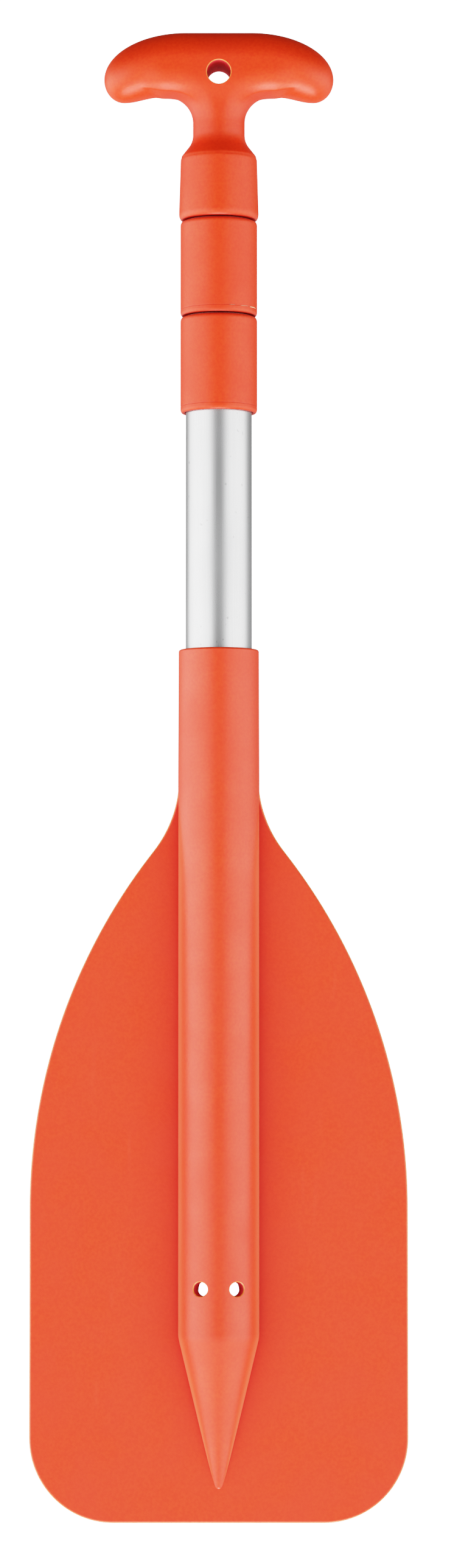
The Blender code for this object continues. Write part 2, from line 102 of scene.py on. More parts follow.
FRONT_DRAIN = (0.0778, 0.0024)  # height of the middle, half-height of the oval
BACK_DRAIN = (0.07605, 0.00415)
DRAIN_START = 0.006  # the drains' cutters start this far from the axis
HOLE_CHAMFER = 0.00026

# Tubes and collars
TUBE_EDGE = 0.00015
COLLAR_LIP = 0.0025
COLLAR_TOP_EDGE = (0.0007, 0.0014)
COLLAR_STEP = (0.0013, 0.00028)  # a low step on the rim, inward and upward, which hides the tube behind
COLLAR_FOOT = (0.0007, 0.0013)  # the rounding of the bottom edge, inward and upward
FOOT_CHAMFER = (0.0003, 0.0004)  # the bore's, at the bottom, outward and upward
LIP_CHAMFER = 0.0003
WITNESS_RISE = 0.0022  # the moulding's witness line, above the bottom
WITNESS_LINE = [(0.00022, 0.0), (0.00006, 0.00007), (-0.00006, 0.00007), (-0.00016, 0.0)]  # up, deep
FLASH = [(16, 25, 0.00006), (35, 50, 0.00010), (54, 74, 0.00040)]  # from and to in degrees, height
FLASH_ROOT, FLASH_PROUD = 0.0003, 0.00005  # how far inside the collar it starts, how far it stands out
FLASH_END, FLASH_CREST = 0.25, 0.6  # shares of its height at both ends, and on its outer face
FLASH_STEPS = 16

# Handle
SKIRT_FOOT = (0.0012, 0.0022)
SKIRT_TOP = 0.4570
SKIRT_TOP_RADIUS = 0.01285
SKIRT_TOP_EDGE = (0.0006, 0.0004)  # the rounding's radius, and how far below the top its centre is
SKIRT_AT_RIVET = SKIRT_RADIUS - 0.0002  # the skirt is a little narrower at the rivet
FLARE_START = SKIRT_TOP + 0.0009
SOCKET_FLOOR = 0.4560
SOCKET_MOUTH = (0.0014, 0.0005, 0.0006)  # a funnel: wider than the tube, from up here, to below here
NECK_RADIUS = 0.00872
NECK_BOTTOM, NECK_TOP = 0.4652, 0.4693
GRIP_START = NECK_BOTTOM + 0.001  # the skin follows grip_value above this, and skirt_profile below it
NECK_FLARE_RADIUS = 0.0070
NECK_SLOPE = 38.0
GRIP_FILLET_RADIUS = 0.0090
STEM_DEPTH = 0.0092
STEM_FADE = 60.0  # per metre, how fast the stem's form gives way to the arms
STEM_FADE_RISE = 0.002  # above the arms' underside, where that starts
STEM_LOFT = (0.4686, 0.486)  # heights between which the stem is lofted into the arms
NECK_LOFT_TOP = 0.468
MELT_OUTLINE, MELT_FACE = 0.0003, 0.0060  # how wide arms and stem melt together there, and y adds
MELT_DEPTH = 0.007  # the y from which all of that is added
ARM_REACH = 0.985  # beyond this share of the arm, its form is too steep to be followed
ARM_EASE = 0.03  # the share before it over which points are moved less and less
GRIP_HALF_DEPTH = 0.0102
GRIP_VOXEL = 0.0004
GRIP_WAIST = 0.484
GRIP_FLAT = 0.011
GRIP_UNDERSIDE = 0.47825
UNDERSIDE_END = 0.020
TIP_UNDERSIDE = 0.47635
TIP_START = 0.032
LANYARD_HEIGHT = 0.485
LANYARD_RADIUS = 0.004025
LANYARD_CUT = 0.0008  # each side's cutter goes this far past the middle

# Fasteners
RIVET_HEAD, RIVET_SHANK = 0.0032, 0.0018
RIVET_SEAT = 0.001
RIVET_CUT = (0.002, 0.003)  # a rivet's hole starts this far from the axis, and ends this far outside
MANDREL = 0.00095
MANDREL_EDGE = MANDREL + 0.00025  # the head's own edge round the broken mandrel
MANDREL_FACE = [(0, 0.00025), (MANDREL - 0.0001, 0.00022), (MANDREL, 0.0003), (MANDREL, 0.0005),
                (MANDREL + 0.00015, 0.0005), (MANDREL_EDGE, 0.00005)]  # radius, depth below the crown
BULB = (0.0011, 0.0012, 0.0024)  # the rivet's blind end: radius, depth of its middle, whole depth

STEPS = 128  # round a turned body
RIM_STEPS = 64  # round a drain or the lanyard hole
STEM_STEPS = 96  # round the handle's stem
SHARP_ANGLE = 32  # degrees

# Slots in PLASTICS and SATIN_PLASTICS. A Boolean takes a cutter's slot numbers over, not its materials
# The edge slot holds a painted highlight, the bore slot a painted shade tint on a dull finish, the flash
# slot a painted glint
HIGHLIGHT_SLOT, BORE_SHADE_SLOT, GLINT_SLOT = 1, 2, 3

# Painted shade where surfaces meet, deeper the more shut in they are, and by the socket painted light on
# its wall. A range gives how shut in a surface is where it starts and where it is full
CORNER_SHADE_REACH, CORNER_SHADE_RANGE, CORNER_SHADE_SHARE = 0.012, (0.02, 0.34), 0.85
WEB_SHADE_REACH, WEB_SHADE_RANGE, WEB_SHADE_FACING = 0.018, (0.02, 0.34), (0.88, 0.98)  # only what faces front or back
WALL_LIGHT_REACH, WALL_LIGHT_RANGE, WALL_LIGHT_FACING = 0.014, (0.03, 0.24), (0.80, 0.42)  # only what faces sideways

# Studio light, as (place, share) stops. PANELS runs from the camera's side round to the far side.
# HEIGHTS and CONTRAST run from straight down to straight up, and CONTRAST is half the power that
# PANELS is raised to
PANELS = [(0.0, 0.12), (0.05, 0.17), (0.10, 0.42), (0.16, 0.72), (0.25, 0.93), (0.35, 1.0), (0.50, 1.0),
          (0.60, 0.82), (0.68, 0.48), (0.76, 0.22), (1.0, 0.10)]
HEIGHTS = [(0.0, 0.05), (0.05, 0.12), (0.15, 0.45), (0.325, 0.90), (0.45, 0.98), (0.50, 0.98),
           (0.53, 0.92), (0.555, 0.84), (0.575, 0.76), (0.62, 0.60), (0.70, 0.36), (0.78, 0.13),
           (0.86, 0.04), (1.0, 0.02)]
CONTRAST = [(0.0, 0.3), (0.30, 0.3), (0.43, 0.40), (0.50, 0.45), (0.545, 0.60), (0.585, 0.75),
            (0.66, 0.35), (1.0, 0.2)]
EVEN_LEVEL = 0.72  # PANELS gives way to this towards straight up and down
EVEN_RANGE = (0.35, 0.9)
LIGHT = 2.85
LIGHT_COLOUR = (1.0, 0.995, 0.99, 1)
SIDE_TILT = 0.10  # the left side is lighter by this share, and the right side darker
SKEW = 0.07  # the right panel lies nearer the camera's side by this share, and the left one further
LOW_LAMP = (0.0, -0.30, -0.954)
LOW_LAMP_EDGE = (0.92, 0.995)
LOW_LAMP_POWER = 3.0
TONE = [(0.03, 0.011), (0.07, 0.038), (0.10, 0.070), (0.15, 0.125), (0.20, 0.187), (0.30, 0.305),
        (0.45, 0.45), (0.70, 0.65), (0.95, 0.79), (1.3, 0.87)]
WHITE = 2.0  # the light that the tone curve takes to white
BACKDROP = WHITE + 0.1
FLOOR_RADIUS, FLOOR_DROP = 3.0, 0.001

CAMERA_LENS, CAMERA_SENSOR = 111.56, 36.0  # mm
CAMERA_PLACE = (0.00326, -1.626, 0.1545)
CAMERA_TILT = 3.217  # degrees up from level


# Nodes


def add(tree, kind, inputs=(), **settings):
    """A shader node. Inputs is {socket name or number: a value, or the socket that feeds it}."""
    made = tree.nodes.new("ShaderNode" + kind)
    for key, value in settings.items():
        setattr(made, key, value)
    for key, value in dict(inputs).items():
        if isinstance(value, bpy.types.NodeSocket):
            tree.links.new(value, made.inputs[key])
        else:
            made.inputs[key].default_value = value
    return made


def stretched(tree, stretch):
    """The piece's own coordinates in metres, scaled along each axis."""
    place = add(tree, "TexCoord").outputs["Object"]
    return add(tree, "Mapping", {"Vector": place, "Scale": stretch}).outputs[0]


def noise(tree, scale, detail, stretch=(1, 1, 1)):
    settings = {"Vector": stretched(tree, stretch), "Scale": scale, "Detail": detail}
    return add(tree, "TexNoise", settings).outputs[0]


def ranged(tree, value, low, high, to_low=0.0, to_high=1.0, **settings):
    inputs = {"Value": value, "From Min": low, "From Max": high, "To Min": to_low, "To Max": to_high}
    return add(tree, "MapRange", inputs, **settings).outputs[0]


def eased(tree, value, low, high, to_low=0.0, to_high=1.0):
    return ranged(tree, value, low, high, to_low, to_high, interpolation_type="SMOOTHSTEP")


def part_of(tree, value, most):
    """A value from 0 to 1, brought down to 0 to most."""
    return ranged(tree, value, 0, 1, 0, most)


def blended(tree, share, first, second):
    """A colour between two."""
    return add(tree, "Mix", {0: share, 6: first, 7: second}, data_type="RGBA").outputs[2]


def mixed(tree, share, first, second):
    """A number between two."""
    return add(tree, "Mix", {0: share, 2: first, 3: second}).outputs[0]


def maths(tree, first, second, operation="ADD"):
    return add(tree, "Math", {0: first, 1: second}, operation=operation).outputs[0]


def absolute(tree, value):
    return add(tree, "Math", {0: value}, operation="ABSOLUTE").outputs[0]


def bumped(tree, height, distance, strength, normal=None):
    inputs = {"Height": height, "Distance": distance, "Strength": strength}
    if normal:
        inputs["Normal"] = normal
    return add(tree, "Bump", inputs).outputs[0]


def new_material(name):
    made = bpy.data.materials.new(name)
    made.use_nodes = True
    made.node_tree.nodes.clear()
    return made, made.node_tree


def finished(tree, inputs):
    """The Principled shader and the output."""
    shader = add(tree, "BsdfPrincipled", inputs)
    add(tree, "OutputMaterial", {"Surface": shader.outputs[0]})


def shut_in(tree, reach):
    """How much of the view from a surface other surfaces within reach block, from 0 to about 0.6."""
    seen = add(tree, "AmbientOcclusion", {"Distance": reach}, samples=8).outputs["AO"]
    return maths(tree, 1.0, seen, "SUBTRACT")


def painted_corner_shade(tree, colour):
    """Painted shade: deep red where surfaces meet, stronger where they are more shut in."""
    share = ranged(tree, shut_in(tree, CORNER_SHADE_REACH), *CORNER_SHADE_RANGE, 0.0, CORNER_SHADE_SHARE)
    return blended(tree, share, colour, CORNER_SHADE_RED)


def web_shade_and_wall_light(tree, colour):
    """Painted shade and light by the socket: deep red on the plate beside it, and paler on its wall
    beside the plate.
    """
    normal = add(tree, "TexCoord").outputs["Normal"]
    facing = absolute(tree, add(tree, "SeparateXYZ", {0: normal}).outputs[1])
    web = maths(tree, ranged(tree, shut_in(tree, WEB_SHADE_REACH), *WEB_SHADE_RANGE),
                ranged(tree, facing, *WEB_SHADE_FACING), "MULTIPLY")
    wall = maths(tree, ranged(tree, shut_in(tree, WALL_LIGHT_REACH), *WALL_LIGHT_RANGE),
                 ranged(tree, facing, *WALL_LIGHT_FACING), "MULTIPLY")
    return blended(tree, wall, blended(tree, web, colour, WEB_SHADE_RED), WALL_LIGHT_PALE)


def moulded_plastic(name, main, deep, pale, roughness, specular, corners=None):
    """Injection moulded plastic: spark-eroded grain, faint flow mottling, pinpricks, and light scuffs.

    corners(tree, colour) gives the colour with painted shade where surfaces meet, and on the blade
    painted light too.
    """
    made, tree = new_material(name)
    mottle = ranged(tree, noise(tree, 60, 5), 0.35, 0.68)
    cloud = ranged(tree, noise(tree, 11, 3), 0.35, 0.65)
    grain = noise(tree, 1150, 4)
    pricks = ranged(tree, noise(tree, 900, 0), 0.79, 0.83)
    scuffs = ranged(tree, noise(tree, 1, 5, (420, 420, 30)), 0.66, 0.78)
    colour = blended(tree, part_of(tree, mottle, 0.45), main, deep)
    colour = blended(tree, part_of(tree, cloud, 0.22), colour, pale)
    colour = blended(tree, ranged(tree, grain, 0.36, 0.64, 0.60, 0.0), colour, deep)
    colour = blended(tree, part_of(tree, scuffs, 0.10), colour, pale)
    colour = blended(tree, part_of(tree, pricks, 0.3), colour, deep)
    if corners:
        colour = corners(tree, colour)
    rough = maths(tree, ranged(tree, mottle, 0, 1, roughness - 0.04, roughness + 0.05),
                  part_of(tree, scuffs, 0.10))
    normal = bumped(tree, noise(tree, 180, 2), 0.00003, 0.35)
    normal = bumped(tree, grain, 0.00005, 0.7, normal)
    normal = bumped(tree, maths(tree, 1.0, pricks, "SUBTRACT"), 0.00002, 0.3, normal)
    finished(tree, {"Base Color": colour, "Roughness": rough, "Normal": normal,
                    "Specular IOR Level": specular})
    return made


def drawn_metal(name, light, dark, roughness, stretch=(5200, 5200, 34), metallic=1.0):
    """Satin metal: fine lines or grain as stretch has it, soft clouding in colour and shine, specks."""
    made, tree = new_material(name)
    lines = noise(tree, 1, 4, stretch)
    cloud = ranged(tree, noise(tree, 38, 4), 0.35, 0.68)
    specks = ranged(tree, noise(tree, 700, 0), 0.80, 0.84)
    colour = blended(tree, ranged(tree, lines, 0.3, 0.7, 0.0, 0.35), light, dark)
    colour = blended(tree, part_of(tree, cloud, 0.25), colour, dark)
    colour = blended(tree, part_of(tree, specks, 0.25), colour, SPECK_GREY)
    rough = maths(tree, ranged(tree, cloud, 0, 1, roughness - 0.03, roughness + 0.03),
                  ranged(tree, lines, 0.3, 0.7, -0.02, 0.04))
    normal = bumped(tree, lines, 0.000004, 0.6)
    finished(tree, {"Base Color": colour, "Roughness": rough, "Normal": normal, "Metallic": metallic})
    return made


# Materials

SPECK_GREY = (0.14, 0.14, 0.15, 1)
# Painted shade where surfaces meet
CORNER_SHADE_RED = (0.40, 0.014, 0.010, 1)
# Painted shade on the plate beside the socket
WEB_SHADE_RED = (0.64, 0.021, 0.003, 1)
# Painted light on the socket's wall beside the plate
WALL_LIGHT_PALE = (0.88, 0.215, 0.11, 1)
MAIN_ORANGE = (0.85, 0.072, 0.012, 1)
DEEP_ORANGE = (0.76, 0.046, 0.007, 1)
PALE_ORANGE = (0.88, 0.096, 0.020, 1)
# Painted highlight on rounded edges and on the chamfers of holes
HIGHLIGHT_ORANGE = (0.94, 0.36, 0.09, 1)
HIGHLIGHT_DEEP = (0.88, 0.22, 0.05, 1)
# Painted glint on the flash at the foot of the upper collar
GLINT_CREAM, GLINT_DEEP, GLINT_PALE = (0.96, 0.70, 0.42, 1), (0.94, 0.50, 0.26, 1), (0.97, 0.80, 0.58, 1)
# Painted shade tint for the walls inside holes and sockets, crimson as they look in shade
BORE_SHADE_RED, BORE_SHADE_DEEP, BORE_SHADE_PALE = (0.86, 0.11, 0.12, 1), (0.74, 0.075, 0.09, 1), (0.90, 0.14, 0.14, 1)

PLASTIC = moulded_plastic("orange_moulding", MAIN_ORANGE, DEEP_ORANGE, PALE_ORANGE, 0.42, 0.93,
                          web_shade_and_wall_light)
SATIN = moulded_plastic("orange_moulding_satin", MAIN_ORANGE, DEEP_ORANGE, PALE_ORANGE, 0.44, 0.68,
                        painted_corner_shade)
# Painted highlight on rounded edges and hole rims
PAINTED_EDGE_HIGHLIGHT = moulded_plastic("orange_moulding_edge_highlight", HIGHLIGHT_ORANGE, HIGHLIGHT_DEEP, HIGHLIGHT_ORANGE, 0.42, 0.8)
# Painted glint on the flash
PAINTED_FLASH_GLINT = moulded_plastic("orange_moulding_flash_glint", GLINT_CREAM, GLINT_DEEP, GLINT_PALE, 0.40, 0.8)
# Dull finish with a painted shade tint, for the walls inside holes
PAINTED_BORE_SHADE = moulded_plastic("orange_moulding_bore_shade", BORE_SHADE_RED, BORE_SHADE_DEEP, BORE_SHADE_PALE, 0.70, 0.30)
ALUMINIUM = drawn_metal("drawn_aluminium", (0.60, 0.605, 0.61, 1), (0.50, 0.505, 0.515, 1), 0.26,
                        metallic=0.75)
RIVET_METAL = drawn_metal("rivet_aluminium", (0.66, 0.66, 0.67, 1), (0.46, 0.46, 0.47, 1), 0.34,
                          (1500, 1500, 1500))
STEEL = drawn_metal("zinc_steel", (0.52, 0.52, 0.50, 1), (0.36, 0.36, 0.36, 1), 0.33,
                    (1400, 1400, 1400))
NYLON = moulded_plastic("natural_nylon", (0.66, 0.64, 0.58, 1), (0.55, 0.52, 0.45, 1),
                        (0.74, 0.73, 0.69, 1), 0.48, 0.5)
BLACK = moulded_plastic("black_nylon", (0.022, 0.022, 0.024, 1), (0.012, 0.012, 0.013, 1),
                        (0.045, 0.045, 0.048, 1), 0.45, 0.5)
PLASTICS = (PLASTIC, PAINTED_EDGE_HIGHLIGHT, PAINTED_BORE_SHADE)
SATIN_PLASTICS = (SATIN, PAINTED_EDGE_HIGHLIGHT, PAINTED_BORE_SHADE, PAINTED_FLASH_GLINT)  # the collars and the handle


# Shapes


def smooth(obj):
    obj.data.shade_smooth()
    obj.data.set_sharp_from_angle(angle=math.radians(SHARP_ANGLE))


def built(name, shape, materials):
    mesh = bpy.data.meshes.new(name)
    shape.to_mesh(mesh)
    shape.free()
    for material in materials:
        mesh.materials.append(material)
    obj = bpy.data.objects.new(name, mesh)
    bpy.context.scene.collection.objects.link(obj)
    smooth(obj)
    return obj


def lofted(name, rings, materials, looped=False):
    """A body through rings of points, all with the same count. A ring of one point is a pole.

    Its ends are closed, or joined to each other if it is looped.
    """
    shape = bmesh.new()
    loops = [[shape.verts.new(point) for point in ring] for ring in rings]
    pairs = list(zip(loops, loops[1:]))
    if looped:
        pairs.append((loops[-1], loops[0]))
    for lower, upper in pairs:
        count = max(len(lower), len(upper))
        for i in range(count):
            j = (i + 1) % count
            corners = [lower[i % len(lower)], lower[j % len(lower)], upper[j % len(upper)],
                       upper[i % len(upper)]]
            shape.faces.new(list(dict.fromkeys(corners)))
    if not looped:
        for end in (loops[0], loops[-1]):
            if len(end) > 2:
                shape.faces.new(end)
    bmesh.ops.recalc_face_normals(shape, faces=shape.faces)
    return built(name, shape, materials)


def circle(radius, z, steps):
    turns = (2 * math.pi * i / steps for i in range(steps))
    return [(radius * math.cos(a), radius * math.sin(a), z) for a in turns]


def turned(name, profile, materials, steps=STEPS):
    """A body turned about Z, from (radius, z) points. A closed profile, off the axis, makes a ring."""
    rings = [circle(radius, z, steps) if radius > 1e-7 else [(0.0, 0.0, z)] for radius, z in profile]
    on_axis = len(rings[0]) == 1 or len(rings[-1]) == 1
    return lofted(name, rings, materials, looped=not on_axis)


def arc(centre, radius, start, end, steps, stretch=1.0):
    """Points on a circle, or an ellipse stretched along its second axis, between angles in degrees."""
    angles = (math.radians(start + (end - start) * i / steps) for i in range(steps + 1))
    return [(centre[0] + radius * math.cos(a), centre[1] + stretch * radius * math.sin(a))
            for a in angles]


def rod(name, radius, start, end, materials, steps=48):
    """A cylinder between two points."""
    start, end = Vector(start), Vector(end)
    turn = (end - start).to_track_quat("Z", "Y").to_matrix()
    rings = [[centre + turn @ Vector(point) for point in circle(radius, 0, steps)]
             for centre in (start, end)]
    return lofted(name, rings, materials)


def applied(obj):
    """Replaces the mesh with what its modifiers make of it."""
    graph = bpy.context.evaluated_depsgraph_get()
    mesh = bpy.data.meshes.new_from_object(obj.evaluated_get(graph))
    obj.modifiers.clear()
    obj.data = mesh
    return obj


def combined(obj, operation, others):
    """One exact Boolean for all the others, which are then removed."""
    group = bpy.data.collections.new(f"{obj.name}_{operation.lower()}")
    for other in others:
        group.objects.link(other)
    step = obj.modifiers.new(operation.lower(), "BOOLEAN")
    step.operation = operation
    step.operand_type = "COLLECTION"
    step.collection = group
    step.solver = "EXACT"
    applied(obj)
    for other in others:
        bpy.data.objects.remove(other)
    bpy.data.collections.remove(group)
    smooth(obj)
    return obj


def handed_over(piece, node, body):
    """The piece stands for the CAD node, and moves with its body."""
    held = piece.modifiers.new("weighted_normals", "WEIGHTED_NORMAL")
    held.keep_sharp = True
    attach(piece, body)
    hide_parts(node)


def with_bore_shade(cutter):
    """Gives the faces that a cutter leaves the bore's dull finish and its painted shade tint."""
    for face in cutter.data.polygons:
        face.material_index = BORE_SHADE_SLOT
    return cutter


def rim_cutter(name, centre, outward, radii, surface, depth):
    """A cutter for a hole: straight inside, then a small chamfer that follows the surface it opens in.
    The chamfer takes the painted edge highlight, and the inside the bore's painted shade.

    surface(point) gives how far along outward the surface lies from centre's plane, at a point there.
    """
    centre, outward = Vector(centre), Vector(outward).normalized()
    across = outward.cross(Vector((0, 0, 1))).normalized()
    upward = across.cross(outward).normalized()
    rings = [[], [], [], []]
    for i in range(RIM_STEPS):
        angle = 2 * math.pi * i / RIM_STEPS
        spoke = radii[0] * math.cos(angle) * across + radii[1] * math.sin(angle) * upward
        wide = spoke * (1 + HOLE_CHAMFER / spoke.length)
        wider = spoke * (1 + 4 * HOLE_CHAMFER / spoke.length)
        face = surface(centre + wide)
        rings[0].append(centre + spoke - depth * outward)
        rings[1].append(centre + spoke + (face - HOLE_CHAMFER) * outward)
        rings[2].append(centre + wide + face * outward)
        rings[3].append(centre + wider + (face + 3 * HOLE_CHAMFER) * outward)
    cutter = lofted(name, rings, PLASTICS)
    for index, face in enumerate(cutter.data.polygons):
        face.material_index = HIGHLIGHT_SLOT if RIM_STEPS <= index < 3 * RIM_STEPS else BORE_SHADE_SLOT
    return cutter


# Blade


def blade_outline():
    """The right side from the socket down to the bottom edge, then its mirror image back up."""
    shoulder = arc((SHOULDER_INNER + SHOULDER_ARC_RADIUS, SHOULDER_ARC_TOP), SHOULDER_ARC_RADIUS,
                   180, 180 + SHOULDER_SLOPE, 20)
    side = arc((BLADE_HALF_WIDTH - SIDE_ARC_RADIUS, SIDE_TOP), SIDE_ARC_RADIUS, SHOULDER_SLOPE, 0, 40)
    corner = arc((BLADE_HALF_WIDTH - CORNER_RADIUS, CORNER_RADIUS), CORNER_RADIUS, 0, -90, 28)
    right = shoulder + side + corner
    return right + [(-x, z) for x, z in reversed(right)]


def plate(name, outline, thickness, edge, materials):
    """A plate with rounded edges, and a painted highlight line round them, from an outline of (x, z)
    points.
    """
    curve = bpy.data.curves.new(name, "CURVE")
    curve.dimensions = "2D"
    curve.fill_mode = "BOTH"
    curve.extrude = thickness / 2 - edge
    curve.bevel_depth = edge
    curve.bevel_resolution = 4
    curve.offset = -edge
    spline = curve.splines.new("POLY")
    spline.points.add(len(outline) - 1)
    for point, (x, z) in zip(spline.points, outline):
        point.co = (x, z, 0.0, 1.0)
    spline.use_cyclic_u = True
    guide = bpy.data.objects.new(name + "_outline", curve)
    bpy.context.scene.collection.objects.link(guide)
    bpy.context.view_layer.update()
    graph = bpy.context.evaluated_depsgraph_get()
    mesh = bpy.data.meshes.new_from_object(guide.evaluated_get(graph))
    shape = bmesh.new()
    shape.from_mesh(mesh)
    bmesh.ops.transform(shape, matrix=Matrix.Rotation(math.radians(90), 4, "X"), verts=shape.verts)
    bmesh.ops.remove_doubles(shape, verts=shape.verts, dist=0.000005)
    bmesh.ops.recalc_face_normals(shape, faces=shape.faces)
    # The faces of the rounding that turn partly to the front or back take the painted highlight
    for face in shape.faces:
        if HIGHLIGHT_BAND[0] < abs(face.normal.y) < HIGHLIGHT_BAND[1]:
            face.material_index = HIGHLIGHT_SLOT
    bpy.data.meshes.remove(mesh)
    bpy.data.objects.remove(guide)
    return built(name, shape, materials)


def boss_profile():
    """The socket's outside, from the middle of its rim down to the point of the cone."""
    rim = arc((RIM_RADIUS - RIM_EDGE, RIM_TOP - RIM_EDGE), RIM_EDGE, 90, 0, 6)
    shoulder = [(BOSS_RADIUS, SHOULDER_ARC_TOP)]
    bend = math.tan(math.radians(CONE_SLOPE))
    for i in range(CONE_BLEND_STEPS + 1):
        down = CONE_BLEND * (2 * i / CONE_BLEND_STEPS - 1)
        narrower = bend * (down + CONE_BLEND) ** 2 / (4 * CONE_BLEND)
        shoulder.append((BOSS_RADIUS - narrower, CONE_TOP - down))
    point = arc((0, CONE_END + CONE_END_RADIUS), CONE_END_RADIUS, -CONE_SLOPE, -90, 10)
    return [(0, RIM_TOP)] + rim + shoulder + point[:-1] + [(0, CONE_END)]


def hollow_profile():
    """The socket's inside: a chamfered mouth, the tube's bore down to its seat, the drained chamber."""
    bore = BOSS_RADIUS - SOCKET_WALL
    above = RIM_TOP + CUT_BEYOND
    return [(0, above), (bore + MOUTH_CHAMFER + CUT_BEYOND, above), (bore, RIM_TOP - MOUTH_CHAMFER),
            (bore, SEAT), (CHAMBER_RADIUS, SEAT), (CHAMBER_RADIUS, CHAMBER_FLOOR), (0, CHAMBER_FLOOR)]


def drain(name, angle, height, half_height):
    """A cutter for an oval drain, at an angle in degrees from the front."""
    outward = Matrix.Rotation(math.radians(angle), 3, "Z") @ Vector((0, -1, 0))
    centre = Vector((0, 0, height))

    def boss_face(point):
        sideways = point - point.dot(outward) * outward
        return math.sqrt(BOSS_RADIUS ** 2 - sideways.x ** 2 - sideways.y ** 2)

    return rim_cutter(name, centre, outward, (DRAIN_HALF_WIDTH, half_height), boss_face, -DRAIN_START)


def rivet_holes(name, height, outside):
    """Cutters for a rivet at the back: a seat for its head, and a hole for its shank."""
    beyond = (0, outside + RIVET_CUT[1], height)
    seat, start = (0, outside - RIVET_SEAT, height), (0, RIVET_CUT[0], height)
    return (rod(name + "_rivet_seat", RIVET_HEAD + SLIDE_GAP, seat, beyond, PLASTICS, 64),
            rod(name + "_rivet_hole", RIVET_SHANK + SLIDE_GAP, start, beyond, PLASTICS))


def make_blade():
    blade = plate("moulded_blade", blade_outline(), PLATE_THICKNESS, PLATE_EDGE, PLASTICS)
    combined(blade, "UNION", [turned("blade_boss", boss_profile(), PLASTICS)])
    cutters = [with_bore_shade(turned("blade_hollow", hollow_profile(), PLASTICS))]
    for side, angle in (("left", -DRAIN_ANGLE), ("right", DRAIN_ANGLE)):
        cutters.append(drain(f"drain_front_{side}", angle, *FRONT_DRAIN))
        cutters.append(drain(f"drain_back_{side}", 180 - angle, *BACK_DRAIN))
    cutters += rivet_holes("blade", BLADE_RIVET_HEIGHT, BOSS_RADIUS)
    combined(blade, "DIFFERENCE", cutters)
    handed_over(blade, "blade", "blade_section")


# Tubes, collars and rivets


def make_tube(node, body, *pins):
    """A drawn tube with its ends broken, and a hole at the back for each pin or rivet node."""
    low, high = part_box(node)
    outside, inside, edge = high.x, high.x - TUBE_WALL, TUBE_EDGE
    profile = [(outside - edge, high.z), (outside, high.z - edge), (outside, low.z + edge),
               (outside - edge, low.z), (inside + edge, low.z), (inside, low.z + edge),
               (inside, high.z - edge), (inside + edge, high.z)]
    tube = turned("drawn_" + node, profile, (ALUMINIUM,))
    cutters = []
    for pin in pins:
        width = RIVET_SHANK if pin.endswith("rivet") else half_width(pin)
        start, end = ((0, reach, middle(pin)) for reach in (inside / 2, outside + CUT_BEYOND))
        cutters.append(rod(f"{node}_{pin}_hole", width + SLIDE_GAP, start, end, (ALUMINIUM,)))
    combined(tube, "DIFFERENCE", cutters)
    handed_over(tube, node, body)


def flash_burr(radius, height, start, end, tall):
    """A sliver of flash left on the witness line, thinning out at both ends, coloured cream as a painted
    glint.
    """
    rings = []
    for i in range(FLASH_STEPS + 1):
        angle = math.radians(start + (end - start) * i / FLASH_STEPS - 90)
        swell = math.sin(math.pi * i / FLASH_STEPS) ** 0.5
        half = tall / 2 * (FLASH_END + (1 - FLASH_END) * swell)
        crest = half * FLASH_CREST
        rings.append([((radius + out) * math.cos(angle), (radius + out) * math.sin(angle), height + up)
                      for out, up in ((-FLASH_ROOT, half), (FLASH_PROUD, crest),
                                      (FLASH_PROUD, -crest), (-FLASH_ROOT, -half))])
    burr = lofted(f"flash_{start}", rings, SATIN_PLASTICS)
    for face in burr.data.polygons:
        face.material_index = GLINT_SLOT
    return burr


def make_collar(node, body, own_tube, next_tube, flash=False):
    """A moulded cap with a rounded foot, the mould's witness line just above it, and a stepped rim."""
    low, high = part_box(node)
    radius, bottom, top = high.x, low.z, high.z
    bore, lip = half_width(own_tube) + SLIDE_GAP, half_width(next_tube) + SLIDE_GAP
    inward, upward = COLLAR_TOP_EDGE
    rim = arc((radius - inward, top - upward), inward, 90, 0, 8, stretch=upward / inward)
    witness = bottom + WITNESS_RISE
    line = [(radius - depth, witness + up) for up, depth in WITNESS_LINE]
    inward, upward = COLLAR_FOOT
    foot = arc((radius - inward, bottom + upward), inward, 0, -90, 10, stretch=upward / inward)
    step = radius - COLLAR_STEP[0]
    inside = [(bore + FOOT_CHAMFER[0], bottom), (bore, bottom + FOOT_CHAMFER[1]),
              (bore, top - COLLAR_LIP), (lip, top - COLLAR_LIP), (lip, top),
              (lip + LIP_CHAMFER, top + COLLAR_STEP[1]), (step, top + COLLAR_STEP[1]), (step, top)]
    collar = turned("moulded_" + node, rim + line + foot + inside, SATIN_PLASTICS)
    if flash:
        combined(collar, "UNION", [flash_burr(radius, witness, *part) for part in FLASH])
    handed_over(collar, node, body)


